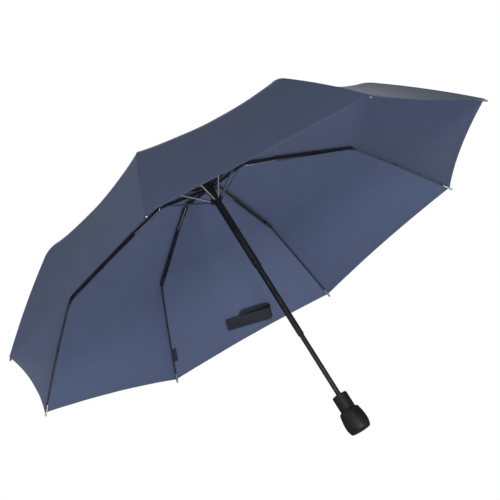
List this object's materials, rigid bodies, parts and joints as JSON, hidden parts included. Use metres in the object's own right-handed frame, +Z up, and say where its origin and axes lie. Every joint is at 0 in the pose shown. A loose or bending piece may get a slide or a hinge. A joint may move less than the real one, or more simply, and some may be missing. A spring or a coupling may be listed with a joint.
{
  "type": "folding umbrella",
  "caption": "Compact folding umbrella with an octagonal cloth canopy, jointed ribs, a telescoping shaft and a stubby push-button handle.",
  "frame": {"origin": "centre of the flat underside of the handle, on the shaft's axis", "axes": "+Z runs up the shaft from the handle to the ferrule; +X passes along the first rib"},
  "size_m": [0.9722, 0.9722, 0.5413],
  "materials": {
    "grip_plastic": "moulded black plastic with a fine matt texture",
    "button_plastic": "satin black plastic",
    "spring_steel": "plain spring steel",
    "tube_plain": "thin black coat on steel tube, semi-gloss",
    "tube_painted": "black coat on steel tube, semi-gloss",
    "hub_plastic": "moulded black nylon",
    "rib_painted": "black coat on pressed steel channel",
    "link_steel": "zinc-plated steel",
    "wire_painted": "black coat on spring wire",
    "tip_metal": "small pressed metal cap",
    "canopy_fabric": "thin, tightly woven blue-grey polyester with a slight sheen",
    "strap_fabric": "folded strip of the same cloth, darker where it is doubled"
  },
  "bodies": {
    "handle": {"grip": "grip_plastic", "base_cap": "grip_plastic", "button_spring": "spring_steel", "inner_tube": "tube_plain"},
    "button": {"push_button": "button_plastic"},
    "shaft_middle": {"middle_tube": "tube_painted"},
    "shaft_top": {"upper_tube": "tube_painted", "crown": "hub_plastic", "ferrule_cap": "hub_plastic", "canopy": "canopy_fabric", "closure_strap": "strap_fabric"},
    "slider": {"runner": "hub_plastic"},
    "top_1": {"top_rib_1": "rib_painted"},
    "main_1": {"main_rib_1": "rib_painted"},
    "strut_1": {"stretcher_1": "link_steel"},
    "mid_1": {"mid_rib_1": "rib_painted"},
    "outer_1": {"outer_rib_1": "wire_painted", "rib_tip_1": "tip_metal"},
    "top_2": {"top_rib_2": "rib_painted"},
    "main_2": {"main_rib_2": "rib_painted"},
    "strut_2": {"stretcher_2": "link_steel"},
    "mid_2": {"mid_rib_2": "rib_painted"},
    "outer_2": {"outer_rib_2": "wire_painted", "rib_tip_2": "tip_metal"},
    "top_3": {"top_rib_3": "rib_painted"},
    "main_3": {"main_rib_3": "rib_painted"},
    "strut_3": {"stretcher_3": "link_steel"},
    "mid_3": {"mid_rib_3": "rib_painted"},
    "outer_3": {"outer_rib_3": "wire_painted", "rib_tip_3": "tip_metal"},
    "top_4": {"top_rib_4": "rib_painted"},
    "main_4": {"main_rib_4": "rib_painted"},
    "strut_4": {"stretcher_4": "link_steel"},
    "mid_4": {"mid_rib_4": "rib_painted"},
    "outer_4": {"outer_rib_4": "wire_painted", "rib_tip_4": "tip_metal"},
    "top_5": {"top_rib_5": "rib_painted"},
    "main_5": {"main_rib_5": "rib_painted"},
    "strut_5": {"stretcher_5": "link_steel"},
    "mid_5": {"mid_rib_5": "rib_painted"},
    "outer_5": {"outer_rib_5": "wire_painted", "rib_tip_5": "tip_metal"},
    "top_6": {"top_rib_6": "rib_painted"},
    "main_6": {"main_rib_6": "rib_painted"},
    "strut_6": {"stretcher_6": "link_steel"},
    "mid_6": {"mid_rib_6": "rib_painted"},
    "outer_6": {"outer_rib_6": "wire_painted", "rib_tip_6": "tip_metal"},
    "top_7": {"top_rib_7": "rib_painted"},
    "main_7": {"main_rib_7": "rib_painted"},
    "strut_7": {"stretcher_7": "link_steel"},
    "mid_7": {"mid_rib_7": "rib_painted"},
    "outer_7": {"outer_rib_7": "wire_painted", "rib_tip_7": "tip_metal"},
    "top_8": {"top_rib_8": "rib_painted"},
    "main_8": {"main_rib_8": "rib_painted"},
    "strut_8": {"stretcher_8": "link_steel"},
    "mid_8": {"mid_rib_8": "rib_painted"},
    "outer_8": {"outer_rib_8": "wire_painted", "rib_tip_8": "tip_metal"}
  },
  "joints": [
    {"name": "button_press", "type": "slide", "parent": "handle", "child": "button", "axis": [-0.7071, -0.7071, 0], "range_m": [0, 0.0025], "stiffness_N_per_m": 400, "springref_m": -0.0005, "deforming": ["button_spring"]},
    {"name": "middle_tube_slide", "type": "slide", "parent": "handle", "child": "shaft_middle", "axis": [0, 0, -1], "range_m": [0, 0.121]},
    {"name": "upper_tube_slide", "type": "slide", "parent": "shaft_middle", "child": "shaft_top", "axis": [0, 0, -1], "range_m": [0, 0.141]},
    {"name": "canopy_fold", "type": "hinge", "parent": "shaft_top", "child": "top_1", "pos_m": [0.0105, 0, 0.514], "axis": [0, 1, 0], "range_deg": [0, 105.2], "deforming": ["canopy", "closure_strap"]},
    {"name": "main_fold_1", "type": "hinge", "parent": "top_1", "child": "main_1", "pos_m": [0.09221, 0, 0.53743], "axis": [0, 1, 0], "range_deg": [-23.85, 0]},
    {"name": "strut_fold_1", "type": "hinge", "parent": "top_1", "child": "strut_1", "pos_m": [0.08564, 0, 0.53492], "axis": [0, 1, 0], "range_deg": [-161.67, 0]},
    {"name": "mid_fold_1", "type": "hinge", "parent": "main_1", "child": "mid_1", "pos_m": [0.16585, 0, 0.52976], "axis": [0, 1, 0], "range_deg": [-181.05, 0]},
    {"name": "outer_fold_1", "type": "hinge", "parent": "mid_1", "child": "outer_1", "pos_m": [0.33026, 0, 0.49491], "axis": [0, 1, 0], "range_deg": [0, 145.35]},
    {"name": "top_fold_2", "type": "hinge", "parent": "shaft_top", "child": "top_2", "pos_m": [0.00742, 0.00742, 0.514], "axis": [-0.7071, 0.7071, 0], "range_deg": [0, 105.25]},
    {"name": "main_fold_2", "type": "hinge", "parent": "top_2", "child": "main_2", "pos_m": [0.0652, 0.0652, 0.53743], "axis": [-0.7071, 0.7071, 0], "range_deg": [-23.85, 0]},
    {"name": "strut_fold_2", "type": "hinge", "parent": "top_2", "child": "strut_2", "pos_m": [0.06056, 0.06056, 0.53492], "axis": [-0.7071, 0.7071, 0], "range_deg": [-161.67, 0]},
    {"name": "mid_fold_2", "type": "hinge", "parent": "main_2", "child": "mid_2", "pos_m": [0.11727, 0.11727, 0.52976], "axis": [-0.7071, 0.7071, 0], "range_deg": [-181.05, 0]},
    {"name": "outer_fold_2", "type": "hinge", "parent": "mid_2", "child": "outer_2", "pos_m": [0.23353, 0.23353, 0.49491], "axis": [-0.7071, 0.7071, 0], "range_deg": [0, 145.35]},
    {"name": "top_fold_3", "type": "hinge", "parent": "shaft_top", "child": "top_3", "pos_m": [0, 0.0105, 0.514], "axis": [-1, 0, 0], "range_deg": [0, 105.25]},
    {"name": "main_fold_3", "type": "hinge", "parent": "top_3", "child": "main_3", "pos_m": [0, 0.09221, 0.53743], "axis": [-1, 0, 0], "range_deg": [-23.85, 0]},
    {"name": "strut_fold_3", "type": "hinge", "parent": "top_3", "child": "strut_3", "pos_m": [0, 0.08564, 0.53492], "axis": [-1, 0, 0], "range_deg": [-161.67, 0]},
    {"name": "mid_fold_3", "type": "hinge", "parent": "main_3", "child": "mid_3", "pos_m": [0, 0.16585, 0.52976], "axis": [-1, 0, 0], "range_deg": [-181.05, 0]},
    {"name": "outer_fold_3", "type": "hinge", "parent": "mid_3", "child": "outer_3", "pos_m": [0, 0.33026, 0.49491], "axis": [-1, 0, 0], "range_deg": [0, 145.35]},
    {"name": "top_fold_4", "type": "hinge", "parent": "shaft_top", "child": "top_4", "pos_m": [-0.00742, 0.00742, 0.514], "axis": [-0.7071, -0.7071, 0], "range_deg": [0, 105.25]},
    {"name": "main_fold_4", "type": "hinge", "parent": "top_4", "child": "main_4", "pos_m": [-0.0652, 0.0652, 0.53743], "axis": [-0.7071, -0.7071, 0], "range_deg": [-23.85, 0]},
    {"name": "strut_fold_4", "type": "hinge", "parent": "top_4", "child": "strut_4", "pos_m": [-0.06056, 0.06056, 0.53492], "axis": [-0.7071, -0.7071, 0], "range_deg": [-161.67, 0]},
    {"name": "mid_fold_4", "type": "hinge", "parent": "main_4", "child": "mid_4", "pos_m": [-0.11727, 0.11727, 0.52976], "axis": [-0.7071, -0.7071, 0], "range_deg": [-181.05, 0]},
    {"name": "outer_fold_4", "type": "hinge", "parent": "mid_4", "child": "outer_4", "pos_m": [-0.23353, 0.23353, 0.49491], "axis": [-0.7071, -0.7071, 0], "range_deg": [0, 145.35]},
    {"name": "top_fold_5", "type": "hinge", "parent": "shaft_top", "child": "top_5", "pos_m": [-0.0105, 0, 0.514], "axis": [0, -1, 0], "range_deg": [0, 105.25]},
    {"name": "main_fold_5", "type": "hinge", "parent": "top_5", "child": "main_5", "pos_m": [-0.09221, 0, 0.53743], "axis": [0, -1, 0], "range_deg": [-23.85, 0]},
    {"name": "strut_fold_5", "type": "hinge", "parent": "top_5", "child": "strut_5", "pos_m": [-0.08564, 0, 0.53492], "axis": [0, -1, 0], "range_deg": [-161.67, 0]},
    {"name": "mid_fold_5", "type": "hinge", "parent": "main_5", "child": "mid_5", "pos_m": [-0.16585, 0, 0.52976], "axis": [0, -1, 0], "range_deg": [-181.05, 0]},
    {"name": "outer_fold_5", "type": "hinge", "parent": "mid_5", "child": "outer_5", "pos_m": [-0.33026, 0, 0.49491], "axis": [0, -1, 0], "range_deg": [0, 145.35]},
    {"name": "top_fold_6", "type": "hinge", "parent": "shaft_top", "child": "top_6", "pos_m": [-0.00742, -0.00742, 0.514], "axis": [0.7071, -0.7071, 0], "range_deg": [0, 105.25]},
    {"name": "main_fold_6", "type": "hinge", "parent": "top_6", "child": "main_6", "pos_m": [-0.0652, -0.0652, 0.53743], "axis": [0.7071, -0.7071, 0], "range_deg": [-23.85, 0]},
    {"name": "strut_fold_6", "type": "hinge", "parent": "top_6", "child": "strut_6", "pos_m": [-0.06056, -0.06056, 0.53492], "axis": [0.7071, -0.7071, 0], "range_deg": [-161.67, 0]},
    {"name": "mid_fold_6", "type": "hinge", "parent": "main_6", "child": "mid_6", "pos_m": [-0.11727, -0.11727, 0.52976], "axis": [0.7071, -0.7071, 0], "range_deg": [-181.05, 0]},
    {"name": "outer_fold_6", "type": "hinge", "parent": "mid_6", "child": "outer_6", "pos_m": [-0.23353, -0.23353, 0.49491], "axis": [0.7071, -0.7071, 0], "range_deg": [0, 145.35]},
    {"name": "top_fold_7", "type": "hinge", "parent": "shaft_top", "child": "top_7", "pos_m": [0, -0.0105, 0.514], "axis": [1, 0, 0], "range_deg": [0, 105.25]},
    {"name": "main_fold_7", "type": "hinge", "parent": "top_7", "child": "main_7", "pos_m": [0, -0.09221, 0.53743], "axis": [1, 0, 0], "range_deg": [-23.85, 0]},
    {"name": "strut_fold_7", "type": "hinge", "parent": "top_7", "child": "strut_7", "pos_m": [0, -0.08564, 0.53492], "axis": [1, 0, 0], "range_deg": [-161.67, 0]},
    {"name": "mid_fold_7", "type": "hinge", "parent": "main_7", "child": "mid_7", "pos_m": [0, -0.16585, 0.52976], "axis": [1, 0, 0], "range_deg": [-181.05, 0]},
    {"name": "outer_fold_7", "type": "hinge", "parent": "mid_7", "child": "outer_7", "pos_m": [0, -0.33026, 0.49491], "axis": [1, 0, 0], "range_deg": [0, 145.35]},
    {"name": "top_fold_8", "type": "hinge", "parent": "shaft_top", "child": "top_8", "pos_m": [0.00742, -0.00742, 0.514], "axis": [0.7071, 0.7071, 0], "range_deg": [0, 105.25]},
    {"name": "main_fold_8", "type": "hinge", "parent": "top_8", "child": "main_8", "pos_m": [0.0652, -0.0652, 0.53743], "axis": [0.7071, 0.7071, 0], "range_deg": [-23.85, 0]},
    {"name": "strut_fold_8", "type": "hinge", "parent": "top_8", "child": "strut_8", "pos_m": [0.06056, -0.06056, 0.53492], "axis": [0.7071, 0.7071, 0], "range_deg": [-161.67, 0]},
    {"name": "mid_fold_8", "type": "hinge", "parent": "main_8", "child": "mid_8", "pos_m": [0.11727, -0.11727, 0.52976], "axis": [0.7071, 0.7071, 0], "range_deg": [-181.05, 0]},
    {"name": "outer_fold_8", "type": "hinge", "parent": "mid_8", "child": "outer_8", "pos_m": [0.23353, -0.23353, 0.49491], "axis": [0.7071, 0.7071, 0], "range_deg": [0, 145.35]},
    {"name": "runner_slide", "type": "slide", "parent": "shaft_top", "child": "slider", "axis": [0, 0, -1], "range_m": [0, 0.14035]}
  ],
  "couplings": [
    {"joint": "main_fold_1", "follows": "canopy_fold", "ratio": -0.22624},
    {"joint": "strut_fold_1", "follows": "canopy_fold", "ratio": -1.5363},
    {"joint": "mid_fold_1", "follows": "canopy_fold", "ratio": -1.7205},
    {"joint": "outer_fold_1", "follows": "canopy_fold", "ratio": 1.3812},
    {"joint": "top_fold_2", "follows": "canopy_fold", "ratio": 1},
    {"joint": "main_fold_2", "follows": "canopy_fold", "ratio": -0.22624},
    {"joint": "strut_fold_2", "follows": "canopy_fold", "ratio": -1.5363},
    {"joint": "mid_fold_2", "follows": "canopy_fold", "ratio": -1.7205},
    {"joint": "outer_fold_2", "follows": "canopy_fold", "ratio": 1.3812},
    {"joint": "top_fold_3", "follows": "canopy_fold", "ratio": 1},
    {"joint": "main_fold_3", "follows": "canopy_fold", "ratio": -0.22624},
    {"joint": "strut_fold_3", "follows": "canopy_fold", "ratio": -1.5363},
    {"joint": "mid_fold_3", "follows": "canopy_fold", "ratio": -1.7205},
    {"joint": "outer_fold_3", "follows": "canopy_fold", "ratio": 1.3812},
    {"joint": "top_fold_4", "follows": "canopy_fold", "ratio": 1},
    {"joint": "main_fold_4", "follows": "canopy_fold", "ratio": -0.22624},
    {"joint": "strut_fold_4", "follows": "canopy_fold", "ratio": -1.5363},
    {"joint": "mid_fold_4", "follows": "canopy_fold", "ratio": -1.7205},
    {"joint": "outer_fold_4", "follows": "canopy_fold", "ratio": 1.3812},
    {"joint": "top_fold_5", "follows": "canopy_fold", "ratio": 1},
    {"joint": "main_fold_5", "follows": "canopy_fold", "ratio": -0.22624},
    {"joint": "strut_fold_5", "follows": "canopy_fold", "ratio": -1.5363},
    {"joint": "mid_fold_5", "follows": "canopy_fold", "ratio": -1.7205},
    {"joint": "outer_fold_5", "follows": "canopy_fold", "ratio": 1.3812},
    {"joint": "top_fold_6", "follows": "canopy_fold", "ratio": 1},
    {"joint": "main_fold_6", "follows": "canopy_fold", "ratio": -0.22624},
    {"joint": "strut_fold_6", "follows": "canopy_fold", "ratio": -1.5363},
    {"joint": "mid_fold_6", "follows": "canopy_fold", "ratio": -1.7205},
    {"joint": "outer_fold_6", "follows": "canopy_fold", "ratio": 1.3812},
    {"joint": "top_fold_7", "follows": "canopy_fold", "ratio": 1},
    {"joint": "main_fold_7", "follows": "canopy_fold", "ratio": -0.22624},
    {"joint": "strut_fold_7", "follows": "canopy_fold", "ratio": -1.5363},
    {"joint": "mid_fold_7", "follows": "canopy_fold", "ratio": -1.7205},
    {"joint": "outer_fold_7", "follows": "canopy_fold", "ratio": 1.3812},
    {"joint": "top_fold_8", "follows": "canopy_fold", "ratio": 1},
    {"joint": "main_fold_8", "follows": "canopy_fold", "ratio": -0.22624},
    {"joint": "strut_fold_8", "follows": "canopy_fold", "ratio": -1.5363},
    {"joint": "mid_fold_8", "follows": "canopy_fold", "ratio": -1.7205},
    {"joint": "outer_fold_8", "follows": "canopy_fold", "ratio": 1.3812},
    {"joint": "runner_slide", "follows": "canopy_fold", "m_per_rad": 0.076383}
  ]
}
